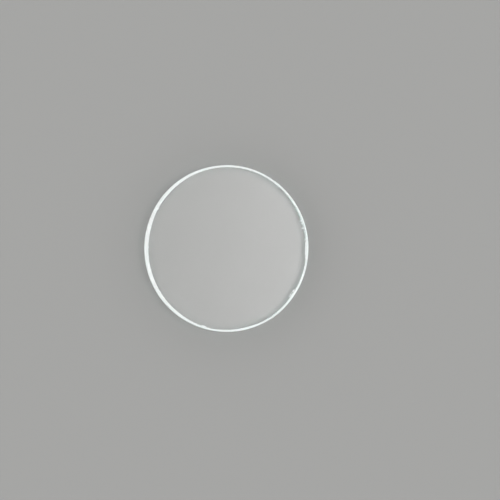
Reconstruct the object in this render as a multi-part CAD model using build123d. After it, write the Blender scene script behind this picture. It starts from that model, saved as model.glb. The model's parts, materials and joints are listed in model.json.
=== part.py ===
from build123d import *
import os

# A flat round watch crystal: one disc of clear mineral glass that closes the front of a watch case.
# Both faces are flat and polished. The rim is ground: a straight wall, a bevel at the front edge
# and a smaller safety bevel at the back edge, with every sharp corner of the rim just taken off.
# All sizes are in millimetres. +Z points out of the watch, towards the reader of the dial, and the
# origin is the centre of the underside, the face that looks at the dial.

# The disc
crystal_diameter = 30.0
crystal_thickness = 2.0

# The bevel round the front face: how far it reaches in across the face, and down the wall
front_bevel_width = 0.32
front_bevel_height = 0.32

# The safety bevel round the underside
back_bevel_width = 0.2
back_bevel_height = 0.2

# How round the rim's corners are left by grinding
arris_radius = 0.03


def rim_section():
    """Half of the disc's section, from the axis out to the rim, on the XZ plane."""
    wall_radius = crystal_diameter / 2
    outline = Polyline(
        (0, 0),
        (wall_radius - back_bevel_width, 0),
        (wall_radius, back_bevel_height),
        (wall_radius, crystal_thickness - front_bevel_height),
        (wall_radius - front_bevel_width, crystal_thickness),
        (0, crystal_thickness),
        close=True,
    )
    section = make_face(outline)
    rim_corners = [corner for corner in section.vertices() if corner.X > 0]
    return Plane.XZ * fillet(rim_corners, arris_radius)


def crystal():
    """The glass disc, turned from its section about the watch's own axis."""
    return revolve(rim_section(), Axis.Z)


os.makedirs("parts", exist_ok=True)
glass = crystal()
glass.label = "crystal"
export_step(glass, "parts/crystal.step")
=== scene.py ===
import json
import math
import random
from collections import namedtuple

import bpy
from mathutils import Matrix, Vector, noise


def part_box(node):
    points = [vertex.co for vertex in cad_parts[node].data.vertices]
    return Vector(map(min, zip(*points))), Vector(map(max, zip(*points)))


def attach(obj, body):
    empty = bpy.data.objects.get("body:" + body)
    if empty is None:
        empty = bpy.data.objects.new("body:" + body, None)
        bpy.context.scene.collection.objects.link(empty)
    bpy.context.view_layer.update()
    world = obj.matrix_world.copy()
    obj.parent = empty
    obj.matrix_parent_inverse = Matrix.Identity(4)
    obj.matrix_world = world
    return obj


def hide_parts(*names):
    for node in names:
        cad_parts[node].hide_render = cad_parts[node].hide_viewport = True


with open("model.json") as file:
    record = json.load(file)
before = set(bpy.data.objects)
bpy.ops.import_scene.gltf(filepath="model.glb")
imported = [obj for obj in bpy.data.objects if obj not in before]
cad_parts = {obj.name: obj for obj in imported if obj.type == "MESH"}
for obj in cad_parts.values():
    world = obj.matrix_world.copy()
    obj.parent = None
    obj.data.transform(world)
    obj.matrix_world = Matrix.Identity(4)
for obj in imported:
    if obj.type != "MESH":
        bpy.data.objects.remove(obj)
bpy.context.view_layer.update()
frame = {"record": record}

# A flat round watch crystal of clear mineral glass, lying on a pale floor. It is one closed mesh,
# made from rings of points as on a lathe. Its faces are polished, and its rim is ground and chipped.

# Sizes are in metres, as the frame is. A value written in millimetres is multiplied by MM.
MM = 0.001

# Half a turn, in degrees
HALF_TURN = 180

# Plain white, with its opacity
WHITE = (1, 1, 1, 1)

# How round the ground rim's corners are, and the angle in degrees between a bevel and the wall
ARRIS_RADIUS = 0.03 * MM
BEVEL_SLOPE = 45

# The disc, from the frame: its size, and the bevels that its straight wall leaves above and below it
disc_low, disc_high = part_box("crystal")
radius = min(disc_high.x, disc_high.y)
edge_mount = next(mount for mount in frame["record"]["mounts"] if mount["name"] == "edge")
wall_middle = edge_mount["pos_m"][2]
wall_half = edge_mount["dims"]["length_mm"] * MM / 2
arris_reach = ARRIS_RADIUS * math.tan(math.radians(BEVEL_SLOPE) / 2)
front_bevel = disc_high.z - (wall_middle + wall_half + arris_reach)
back_bevel = wall_middle - wall_half - arris_reach - disc_low.z

# The bevels are ground by hand pressure, so the front one comes out a little wider than drawn, and
# the inner edges of both stray from true: by how much at most, with which seed, and how often in a
# turn
FRONT_EXTRA = 0.04 * MM
FRONT_WANDER = (0.2 * MM, 45)
BACK_WANDER = (0.06 * MM, 5)
WANDER_TURNS = 2.0

# How finely the disc is drawn: the rim in steps round the disc, each cut into smaller parts at a
# flake, and a lip of narrow rings at the edge of each face, closer together towards the edge. Each
# of FACE_RINGS, further in, has its distance from the axis as a share of the radius, and its number
# of points.
RIM_STEPS = 480
STEP_PARTS = 12
WHOLE_TURN = RIM_STEPS * STEP_PARTS
ARRIS_PARTS = 3
WALL_PARTS = 2
FRONT_BEVEL_PARTS = 8
BACK_BEVEL_PARTS = 4
LIP_WIDTH = 0.75 * MM
FRONT_LIP_PARTS = 22
BACK_LIP_PARTS = 10
LIP_GROWTH = 1.3
FACE_RINGS = ((0.90, 240), (0.83, 120), (0.7, 60), (0.43, 30))

# The flakes broken out of the front edge that the eye can see: the angle round the disc in degrees,
# and the flake's reach along the edge, its reach across the face and its depth, in millimetres, each
# from the edge between bevel and face
CHIPS = (
    (20.3, 0.11, 0.68, 0.08),
    (18.4, 0.12, 0.52, 0.06),
    (14.9, 0.12, 0.64, 0.08),
    (6.2, 0.11, 0.45, 0.06),
    (-1.0, 2.4, 0.34, 0.05),
    (-32.2, 0.3, 0.44, 0.09),
    (-34.1, 0.08, 0.52, 0.06),
    (-35.6, 0.15, 0.58, 0.08),
    (-37.1, 0.1, 0.56, 0.07),
    (-107.7, 0.52, 0.2, 0.06),
    (151.0, 0.16, 0.16, 0.05),
)

# The much smaller nibbles that grinding leaves along both edges, in millimetres
NIBBLE_SEED = 11
FRONT_NIBBLES = 30
BACK_NIBBLES = 24
NIBBLE_LENGTHS = (0.03, 0.09)
NIBBLE_REACH_SHARES = (0.8, 1.6)
NIBBLE_DEPTH_SHARE = 0.4

# A flake's hollow: how far above the face its rounding has its middle, as a share of its depth, and
# how ragged its outline is, as a share of its size. The outline's waves are a share of the flake's
# length, up to a longest one.
FLAKE_LIFT_SHARE = 0.35
FLAKE_RAGGED_SHARE = 0.25
FLAKE_WAVE_SHARE = 0.6
FLAKE_WAVE_MOST = 0.4 * MM

# How far to each side of its middle a flake is looked for, in times its longest reach along the edge
FLAKE_SEARCH = 2

# The glass: its refraction, and the green that it has in its depth
GLASS_IOR = 1.52
DEPTH_COLOUR = (0.42, 0.85, 0.8, 1)
DEPTH_DENSITY = 3.5

# The ground rim: its palest and its deepest tone, and how rough and how clear it is where it is
# fine and where it is coarse
RIM_PALE = (0.985, 1, 1, 1)
RIM_DEEP = (0.85, 0.92, 0.905, 1)
RIM_ROUGHNESS = (0.7, 0.9)
RIM_CLEARNESS = (0.4, 0.2)

# The noise that the surface's marks are made from: its middle level, and how many finer layers the
# uneven marks have
NOISE_MIDDLE = 0.5
NOISE_DETAIL = 3.0

# The grinding's marks, in marks to a millimetre along each direction: uneven patches, fine streaks
# round the rim, an even grain and pits. COARSE_RANGE is where the first three, added up, turn from
# fine to coarse. PIT_SIZE is how far a pit reaches, where 1 is the pits' distance. MARK_DEPTH is how
# deep the marks of rim and faces are.
PATCH_PITCHES = (0.4, 0.4, 0.4)
STREAK_PITCHES = (0.8, 0.8, 22)
GRAIN_PITCHES = (14, 14, 14)
COARSE_RANGE = (1.42, 1.72)
PIT_PITCH = 7
PIT_SIZE = 0.22
MARK_DEPTH = 0.008 * MM

# The polished faces: hairline scratches in two directions, in degrees, and in patches, and a faint
# haze from wiping. Each range is where noise turns from none to all of it. HAIR_WIDTH is how far
# the noise may be from its middle on a hairline, and HAIR_HEIGHT_SHARE a hairline's height as a share
# of the marks' depth, which is below 0 because it is cut in.
HAIR_TURNS = (24, -58)
HAIR_PITCHES = (0.05, 1.6, 0.05)
HAIR_WIDTH = 0.0035
HAIR_PATCH_PITCHES = (0.16, 0.16, 0.16)
HAIR_PATCH_RANGE = (0.5, 0.6)
HAIR_ROUGHNESS = 0.25
HAIR_HEIGHT_SHARE = -0.15
HAZE_PITCHES = (0.25, 0.25, 0.25)
HAZE_RANGE = (0.45, 0.7)
HAZE_ROUGHNESS = 0.02

# The map that the materials are baked on: the front and back faces side by side above, and the rim
# in four strips below, a quarter turn each. MAP_NAME is the map's name.
MAP_NAME = "OFBake"
FACE_MAP_RADIUS = 0.235
FRONT_MAP_MIDDLE = (0.25, 0.75)
BACK_MAP_MIDDLE = (0.75, 0.75)
RIM_STRIPS = 4
STRIP_LEFT = 0.02
STRIP_WIDTH = 0.96
STRIP_BOTTOM = 0.02
STRIP_PITCH = 0.12
STRIP_HEIGHT = 0.09

# The camera: the photograph looks down on the disc from its left, tilted by some degrees, and the
# disc lies a little to the left of the middle of the picture
CAMERA_TILT = 13.2
CAMERA_DISTANCE = 600.5 * MM
CAMERA_LENS = 240.0
CAMERA_SENSOR = 36.0
CAMERA_NEAR = 10 * MM
AIM_RIGHT = 4.05 * MM
AIM_UP = -0.27 * MM

# The floor: its size, how far it lies below the glass, its colour and how matt it is
FLOOR_SIZE = 4.0
FLOOR_GAP = 0.02 * MM
FLOOR_COLOUR = (0.345, 0.345, 0.338, 1)
FLOOR_ROUGHNESS = 0.9
FLOOR_GLOSS = 0.1

# The light: a world that lights matt surfaces like a light tent. Where it is seen, mirrored or looked
# at through the glass, it is plain white instead, and the mirrored glow is added to both. Each glow
# has the way to its middle, as a lean from straight up towards +X and a turn from there towards +Y,
# the angles from its middle at which it starts to fade and has faded out, and its level, where 1 is
# white. All its angles are in degrees.
WORLD_LEVEL = 0.5
TENT_GLOWS = (
    ("left_key", -80, -2, 0, 54, 0.84),
    ("right_fill", 80, 0, 0, 54, 0.12),
    ("horizon", 180, 0, 90, 130, 2.44),
)
BACKGROUND_LEVEL = 1.0
MIRRORED_GLOW = ("overhead_right", 33, 0, 16, 22, 2.2)

# How often light may turn on its way: it crosses the disc many times between its faces before it
# gets out at the rim
TURNS_IN_ALL = 64
TURNS_BY_MATT_SURFACES = 24
TURNS_BY_GLASS = 64

Flake = namedtuple("Flake", "angle middle along outward length reach depth plane side")


def wander(angle, most, seed):
    """How far a bevel's edge has strayed at an angle round the disc."""
    place = Vector((math.cos(angle), math.sin(angle), seed)) * WANDER_TURNS
    return most * noise.noise(place)


def bevel_widths(angle):
    """How wide the front and the back bevel are at an angle round the disc."""
    front_width = front_bevel + FRONT_EXTRA + wander(angle, *FRONT_WANDER)
    back_width = back_bevel + wander(angle, *BACK_WANDER)
    return front_width, back_width


def flake(place, length, reach, depth, side):
    """One flake, from its angle in degrees and its sizes in millimetres: side is 1 for the front."""
    angle = math.radians(place)
    outward = Vector((math.cos(angle), math.sin(angle)))
    along = Vector((-outward.y, outward.x))
    front_width, back_width = bevel_widths(angle)
    bevel, plane = (front_width, disc_high.z) if side > 0 else (back_width, disc_low.z)
    middle = outward * (radius - bevel)
    return Flake(angle, middle, along, outward, length * MM, reach * MM, depth * MM, plane, side)


def edge_flakes():
    """The chips and the nibbles of both edges."""
    flakes = [flake(*chip, 1) for chip in CHIPS]
    chosen = random.Random(NIBBLE_SEED)
    for side, count in ((1, FRONT_NIBBLES), (-1, BACK_NIBBLES)):
        for _ in range(count):
            place = chosen.uniform(-HALF_TURN, HALF_TURN)
            length = chosen.uniform(*NIBBLE_LENGTHS)
            reach = length * chosen.uniform(*NIBBLE_REACH_SHARES)
            flakes.append(flake(place, length, reach, length * NIBBLE_DEPTH_SHARE, side))
    return flakes


def longest_reach(spot):
    """How far a flake can reach to each side of its middle along the edge, as ragged as it is."""
    return spot.length * (1 + FLAKE_RAGGED_SHARE)


def rim_turns(flakes):
    """Where round the disc the rim has points, in parts of a step."""
    turns = {step * STEP_PARTS for step in range(RIM_STEPS)}
    for spot in flakes:
        middle = spot.angle / math.tau * WHOLE_TURN
        spread = longest_reach(spot) / radius / math.tau * WHOLE_TURN
        turns.update(range(math.floor(middle - spread), math.ceil(middle + spread) + 1))
    return sorted({turn % WHOLE_TURN for turn in turns})


def near_flakes(angle, flakes):
    """The flakes that can reach an angle round the disc."""
    near = []
    for spot in flakes:
        gap = abs((angle - spot.angle + math.pi) % math.tau - math.pi)
        if gap * radius < FLAKE_SEARCH * longest_reach(spot):
            near.append(spot)
    return near


def flaked(point, flakes):
    """The point, pushed in to a flake's hollow where it lies in one, and whether it was."""
    for spot in flakes:
        off = point.xy - spot.middle
        wave = min(spot.length * FLAKE_WAVE_SHARE, FLAKE_WAVE_MOST)
        ragged = 1 + FLAKE_RAGGED_SHARE * noise.noise(point / wave)
        along = off.dot(spot.along) / spot.length
        across = off.dot(spot.outward) / spot.reach
        flat = math.hypot(along, across) / ragged
        if flat < 1:
            bowl = (1 + FLAKE_LIFT_SHARE) * math.sqrt(1 - flat * flat)
            bottom = spot.depth * (FLAKE_LIFT_SHARE - bowl)
            if bottom < (point.z - spot.plane) * spot.side:
                return Vector((point.x, point.y, spot.plane + bottom * spot.side)), True
    return point, False


def rounded_corner(before, corner, after):
    """The points of the small arc that takes off one corner of the rim's section."""
    arriving = (corner - before).normalized()
    leaving = (after - corner).normalized()
    turn = arriving.angle(leaving)
    tangent = ARRIS_RADIUS * math.tan(turn / 2)
    inward = Vector((-arriving.y, arriving.x))
    centre = corner - arriving * tangent + inward * ARRIS_RADIUS
    points = []
    for step in range(ARRIS_PARTS + 1):
        angle = turn * step / ARRIS_PARTS
        spoke = arriving * math.sin(angle) - inward * math.cos(angle)
        points.append(centre + spoke * ARRIS_RADIUS)
    return points


def rim_section(front_width, back_width):
    """The rim's section from the underside's edge, up the wall, to the front face's edge."""
    corners = [
        Vector((0, disc_low.z)),
        Vector((radius - back_width, disc_low.z)),
        Vector((radius, disc_low.z + back_width)),
        Vector((radius, disc_high.z - front_width)),
        Vector((radius - front_width, disc_high.z)),
        Vector((0, disc_high.z)),
    ]
    arcs = [rounded_corner(*three) for three in zip(corners, corners[1:], corners[2:])]
    points = arcs[0]
    for arc, parts in zip(arcs[1:], (BACK_BEVEL_PARTS, WALL_PARTS, FRONT_BEVEL_PARTS)):
        start = points[-1]
        points += [start.lerp(arc[0], step / parts) for step in range(1, parts)]
        points += arc
    return points


def place_at(angle, distance, height):
    """The point at an angle round the disc, a distance from its axis and a height."""
    return Vector((distance * math.cos(angle), distance * math.sin(angle), height))


class Lathe:
    """Gathers rings of points, the faces between them, and where each face lies on the map."""

    def __init__(self):
        self.points = []
        self.broken = []
        self.rim_places = []
        self.faces = []
        self.frosted = []
        self.spots = []

    def ring(self, places, near=None, turns=None, along=0.0):
        """Adds one point for each place and gives their numbers."""
        first = len(self.points)
        for i, place in enumerate(places):
            point, hit = flaked(place, near[i]) if near else (place, False)
            self.points.append(point)
            self.broken.append(hit)
            self.rim_places.append((turns[i] if turns else 0, along))
        return list(range(first, len(self.points)))

    def rim_face(self, corners):
        """Adds one face of the rim, on the map's strip for its own quarter turn."""
        quarter = WHOLE_TURN // RIM_STRIPS
        strip = self.rim_places[corners[0]][0] // quarter
        for corner in corners:
            turn, along = self.rim_places[corner]
            across = (turn - strip * quarter) % WHOLE_TURN / quarter
            left = STRIP_LEFT + STRIP_WIDTH * across
            self.spots += [left, STRIP_BOTTOM + STRIP_PITCH * strip + STRIP_HEIGHT * along]
        self.faces.append(corners)
        self.frosted.append(1.0)

    def flat_face(self, corners, side):
        """Adds one face of the front or the back, which is ground where it lies in a flake."""
        middle = FRONT_MAP_MIDDLE if side > 0 else BACK_MAP_MIDDLE
        corners = tuple(corners) if side > 0 else tuple(reversed(corners))
        for corner in corners:
            point = self.points[corner] * FACE_MAP_RADIUS / radius
            self.spots += [middle[0] + point.x * side, middle[1] + point.y]
        in_flake = any(self.broken[corner] for corner in corners)
        self.faces.append(corners)
        self.frosted.append(1.0 if in_flake else 0.0)

    def join_rim(self, lower, upper):
        """Joins two rings of the rim, which have the same number of points."""
        for i, here in enumerate(lower):
            k = (i + 1) % len(lower)
            self.rim_face((here, lower[k], upper[k], upper[i]))

    def join_lip(self, outer, inner, side):
        """Joins two rings of a face's lip, which have the same number of points."""
        for i, here in enumerate(outer):
            k = (i + 1) % len(outer)
            self.flat_face((here, outer[k], inner[k], inner[i]), side)

    def thin(self, outer, outer_angles, inner, inner_angles, side):
        """Joins an outer ring to an inner one that has fewer points."""
        i = 0
        k = 0
        while i < len(outer) or k < len(inner):
            next_outer = outer_angles[i + 1] if i + 1 < len(outer) else math.tau
            next_inner = inner_angles[k + 1] if k + 1 < len(inner) else math.tau
            on_outer = outer[i % len(outer)]
            on_inner = inner[k % len(inner)]
            if k >= len(inner) or (i < len(outer) and next_outer <= next_inner):
                i += 1
                self.flat_face((on_outer, outer[i % len(outer)], on_inner), side)
            else:
                k += 1
                self.flat_face((on_outer, inner[k % len(inner)], on_inner), side)


def add_rim(lathe, turns, angles, near):
    """Adds the ground rim, and gives its rings and their distances at both faces' edges."""
    sections = []
    for angle in angles:
        sections.append(rim_section(*bevel_widths(angle)))
    lengths = [0.0]
    for before, after in zip(sections[0], sections[0][1:]):
        lengths.append(lengths[-1] + (after - before).length)
    rings = []
    for step, length in enumerate(lengths):
        places = [place_at(a, section[step].x, section[step].y) for a, section in zip(angles, sections)]
        rings.append(lathe.ring(places, near, turns, length / lengths[-1]))
    for lower, upper in zip(rings, rings[1:]):
        lathe.join_rim(lower, upper)
    front = (rings[-1], [section[-1].x for section in sections])
    back = (rings[0], [section[0].x for section in sections])
    return front, back


def add_face(lathe, edge, distances, angles, near, side):
    """Adds the front face where side is 1, or the back face where it is -1, in from its edge."""
    height, parts = (disc_high.z, FRONT_LIP_PARTS) if side > 0 else (disc_low.z, BACK_LIP_PARTS)
    lip_end = min(distances) - LIP_WIDTH
    outer = edge
    for step in range(1, parts + 1):
        share = (step / parts) ** LIP_GROWTH
        places = [place_at(a, d + (lip_end - d) * share, height) for a, d in zip(angles, distances)]
        inner = lathe.ring(places, near)
        lathe.join_lip(outer, inner, side)
        outer = inner
    outer_angles = angles
    for share, count in FACE_RINGS:
        inner_angles = [math.tau * i / count for i in range(count)]
        inner = lathe.ring([place_at(a, radius * share, height) for a in inner_angles])
        lathe.thin(outer, outer_angles, inner, inner_angles, side)
        outer = inner
        outer_angles = inner_angles
    lathe.flat_face(outer, side)


def glass_mesh():
    """The disc as one closed mesh, with its ground faces marked and its map laid out."""
    flakes = edge_flakes()
    turns = rim_turns(flakes)
    angles = [math.tau * turn / WHOLE_TURN for turn in turns]
    lathe = Lathe()
    near_front = [near_flakes(angle, [f for f in flakes if f.side > 0]) for angle in angles]
    near_back = [near_flakes(angle, [f for f in flakes if f.side < 0]) for angle in angles]
    near_both = [one + other for one, other in zip(near_front, near_back)]
    (front, front_distances), (back, back_distances) = add_rim(lathe, turns, angles, near_both)
    add_face(lathe, front, front_distances, angles, near_front, 1)
    add_face(lathe, back, back_distances, angles, near_back, -1)

    mesh = bpy.data.meshes.new("crystal_glass")
    mesh.from_pydata([tuple(point) for point in lathe.points], [], lathe.faces)
    mesh.update()
    mask = mesh.attributes.new("frosted", "FLOAT", "FACE")
    mask.data.foreach_set("value", lathe.frosted)
    mesh.polygons.foreach_set("use_smooth", [True] * len(lathe.faces))
    bake_map = mesh.uv_layers.new(name=MAP_NAME)
    bake_map.data.foreach_set("uv", lathe.spots)
    return mesh


def node(tree, kind, inputs, **settings):
    """Adds a node whose inputs are given as values or as other nodes' outputs, and gives it."""
    made = tree.nodes.new("ShaderNode" + kind)
    for name, value in settings.items():
        setattr(made, name, value)
    for name, value in inputs.items():
        if isinstance(value, bpy.types.NodeSocket):
            tree.links.new(value, made.inputs[name])
        else:
            made.inputs[name].default_value = value
    return made


def waves(tree, place, pitches, detail=0.0, turn=0.0):
    """Soft noise with so many waves to a millimetre along each direction, turned about the axis."""
    spin = node(tree, "VectorRotate", {"Vector": place, "Angle": math.radians(turn)}).outputs["Vector"]
    scale = {0: spin, 1: [pitch / MM for pitch in pitches]}
    scaled = node(tree, "VectorMath", scale, operation="MULTIPLY").outputs["Vector"]
    return node(tree, "TexNoise", {"Vector": scaled, "Scale": 1.0, "Detail": detail}).outputs["Fac"]


def ranged(tree, value, low, high, to_low=0.0, to_high=1.0):
    """The value moved from one range to another, and held within it."""
    inputs = {"Value": value, "From Min": low, "From Max": high, "To Min": to_low, "To Max": to_high}
    return node(tree, "MapRange", inputs).outputs["Result"]


def combined(tree, operation, *values):
    """Some outputs and numbers, put together one after another by an operation of the Math node."""
    result = values[0]
    for value in values[1:]:
        result = node(tree, "Math", {0: result, 1: value}, operation=operation).outputs[0]
    return result


def sum_of(tree, *values):
    """The sum of some outputs and numbers."""
    return combined(tree, "ADD", *values)


def product_of(tree, *values):
    """The product of some outputs and numbers."""
    return combined(tree, "MULTIPLY", *values)


def largest_of(tree, *values):
    """The largest of some outputs and numbers."""
    return combined(tree, "MAXIMUM", *values)


def blend(tree, share, plain, full, **settings):
    """A mix of two outputs or values, by the share of the second."""
    return node(tree, "Mix", {"Factor": share, "A": plain, "B": full}, **settings).outputs["Result"]


def grinding(tree, place):
    """The ground rim's texture from 0, fine, to 1, coarse, and its height."""
    patches = waves(tree, place, PATCH_PITCHES, NOISE_DETAIL)
    streaks = waves(tree, place, STREAK_PITCHES, NOISE_DETAIL)
    grain = waves(tree, place, GRAIN_PITCHES, NOISE_DETAIL)
    pits = node(tree, "TexVoronoi", {"Vector": place, "Scale": PIT_PITCH / MM}).outputs["Distance"]
    coarse = ranged(tree, sum_of(tree, patches, streaks, grain), *COARSE_RANGE)
    rise = product_of(tree, sum_of(tree, streaks, grain), ranged(tree, pits, 0.0, PIT_SIZE))
    return coarse, rise


def hairlines(tree, place):
    """Hairline scratches as 1 on a scratch and 0 off it: thin lines where noise is at its middle."""
    layers = []
    for turn in HAIR_TURNS:
        wave = waves(tree, place, HAIR_PITCHES, turn=turn)
        off = combined(tree, "SUBTRACT", wave, NOISE_MIDDLE)
        gap = node(tree, "Math", {0: off}, operation="ABSOLUTE").outputs[0]
        line = ranged(tree, gap, 0.0, HAIR_WIDTH, 1.0, 0.0)
        patch = ranged(tree, waves(tree, place, HAIR_PATCH_PITCHES, turn=turn), *HAIR_PATCH_RANGE)
        layers.append(product_of(tree, line, patch))
    return largest_of(tree, *layers)


def mineral_glass():
    """Clear polished faces, a finely ground pale rim and a slight green in the depth of the glass."""
    material = bpy.data.materials.new("mineral_glass")
    material.use_nodes = True
    tree = material.node_tree
    shader = tree.nodes["Principled BSDF"]
    shader.inputs["IOR"].default_value = GLASS_IOR
    place = node(tree, "TexCoord", {}).outputs["Object"]
    ground = node(tree, "Attribute", {}, attribute_name="frosted").outputs["Fac"]
    coarse, rise = grinding(tree, place)
    hairs = hairlines(tree, place)
    haze = ranged(tree, waves(tree, place, HAZE_PITCHES, NOISE_DETAIL), *HAZE_RANGE, 0.0, HAZE_ROUGHNESS)

    rim_colour = blend(tree, coarse, RIM_PALE, RIM_DEEP, data_type="RGBA")
    colour = blend(tree, ground, WHITE, rim_colour, data_type="RGBA")
    face_roughness = sum_of(tree, haze, product_of(tree, hairs, HAIR_ROUGHNESS))
    roughness = blend(tree, ground, face_roughness, ranged(tree, coarse, 0.0, 1.0, *RIM_ROUGHNESS))
    clearness = blend(tree, ground, 1.0, ranged(tree, coarse, 0.0, 1.0, *RIM_CLEARNESS))
    height = blend(tree, ground, product_of(tree, hairs, HAIR_HEIGHT_SHARE), rise)
    bump = node(tree, "Bump", {"Height": height, "Distance": MARK_DEPTH}).outputs["Normal"]
    tree.links.new(colour, shader.inputs["Base Color"])
    tree.links.new(roughness, shader.inputs["Roughness"])
    tree.links.new(clearness, shader.inputs["Transmission Weight"])
    tree.links.new(bump, shader.inputs["Normal"])
    tint = node(tree, "VolumeAbsorption", {"Color": DEPTH_COLOUR, "Density": DEPTH_DENSITY})
    tree.links.new(tint.outputs["Volume"], tree.nodes["Material Output"].inputs["Volume"])
    return material


def add_crystal():
    """The glass piece, standing for the CAD node."""
    piece = bpy.data.objects.new("crystal_glass", glass_mesh())
    bpy.context.scene.collection.objects.link(piece)
    piece.data.materials.append(mineral_glass())
    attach(piece, "root")
    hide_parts("crystal")


def add_camera():
    """The photograph's camera, above the disc and leaning to its left."""
    tilt = math.radians(CAMERA_TILT)
    right = Vector((math.cos(tilt), 0, math.sin(tilt)))
    up = Vector((0, 1, 0))
    back = right.cross(up)
    data = bpy.data.cameras.new("camera")
    data.lens = CAMERA_LENS
    data.sensor_width = CAMERA_SENSOR
    data.clip_start = CAMERA_NEAR
    camera = bpy.data.objects.new("camera", data)
    bpy.context.scene.collection.objects.link(camera)
    turn = Matrix((right, up, back)).transposed()
    aim = Vector((AIM_RIGHT, AIM_UP, disc_high.z))
    camera.matrix_world = Matrix.LocRotScale(aim + back * CAMERA_DISTANCE, turn, None)
    bpy.context.scene.camera = camera


def add_floor():
    """A plain pale floor, just clear of the glass."""
    half = FLOOR_SIZE / 2
    height = disc_low.z - FLOOR_GAP
    corners = [(x * half, y * half, height) for x, y in ((-1, -1), (1, -1), (1, 1), (-1, 1))]
    mesh = bpy.data.meshes.new("floor")
    mesh.from_pydata(corners, [], [(0, 1, 2, 3)])
    floor = bpy.data.objects.new("floor", mesh)
    bpy.context.scene.collection.objects.link(floor)
    matte = bpy.data.materials.new("floor")
    matte.use_nodes = True
    shader = matte.node_tree.nodes["Principled BSDF"]
    shader.inputs["Base Color"].default_value = FLOOR_COLOUR
    shader.inputs["Roughness"].default_value = FLOOR_ROUGHNESS
    shader.inputs["Specular IOR Level"].default_value = FLOOR_GLOSS
    mesh.materials.append(matte)


def glow(tree, direction, name, lean, turn, full, faded, level):
    """One soft round glow in the world, as an output that is added to its level."""
    lean = math.radians(lean)
    turn = math.radians(turn)
    way = (math.sin(lean) * math.cos(turn), math.sin(turn), math.cos(lean) * math.cos(turn))
    towards = node(tree, "VectorMath", {0: direction, 1: way}, operation="DOT_PRODUCT").outputs["Value"]
    edges = {
        "Value": towards,
        "From Min": math.cos(math.radians(faded)),
        "From Max": math.cos(math.radians(full)),
        "To Max": level,
    }
    return node(tree, "MapRange", edges, interpolation_type="SMOOTHSTEP", label=name).outputs["Result"]


def add_world():
    """The light tent, a plain white background where it is seen, and the glow that is mirrored."""
    world = bpy.data.worlds.new("world")
    bpy.context.scene.world = world
    world.use_nodes = True
    tree = world.node_tree
    direction = node(tree, "TexCoord", {}).outputs["Generated"]
    path = node(tree, "LightPath", {}).outputs
    sights = [path[kind] for kind in ("Is Camera Ray", "Is Glossy Ray", "Is Transmission Ray")]
    seen = largest_of(tree, *sights)
    tent = sum_of(tree, WORLD_LEVEL, *[glow(tree, direction, *each) for each in TENT_GLOWS])
    base = blend(tree, seen, tent, BACKGROUND_LEVEL)
    total = sum_of(tree, base, glow(tree, direction, *MIRRORED_GLOW))
    background = tree.nodes["Background"]
    background.inputs["Color"].default_value = WHITE
    tree.links.new(total, background.inputs["Strength"])


def allow_long_paths():
    """Lets light that is caught between the two faces find its way out, with no blur on the way."""
    cycles = bpy.context.scene.cycles
    cycles.max_bounces = TURNS_IN_ALL
    cycles.diffuse_bounces = TURNS_BY_MATT_SURFACES
    cycles.glossy_bounces = TURNS_BY_GLASS
    cycles.transmission_bounces = TURNS_BY_GLASS
    cycles.blur_glossy = 0.0


add_crystal()
add_camera()
add_floor()
add_world()
allow_long_paths()
bpy.context.scene.view_settings.view_transform = "Standard"
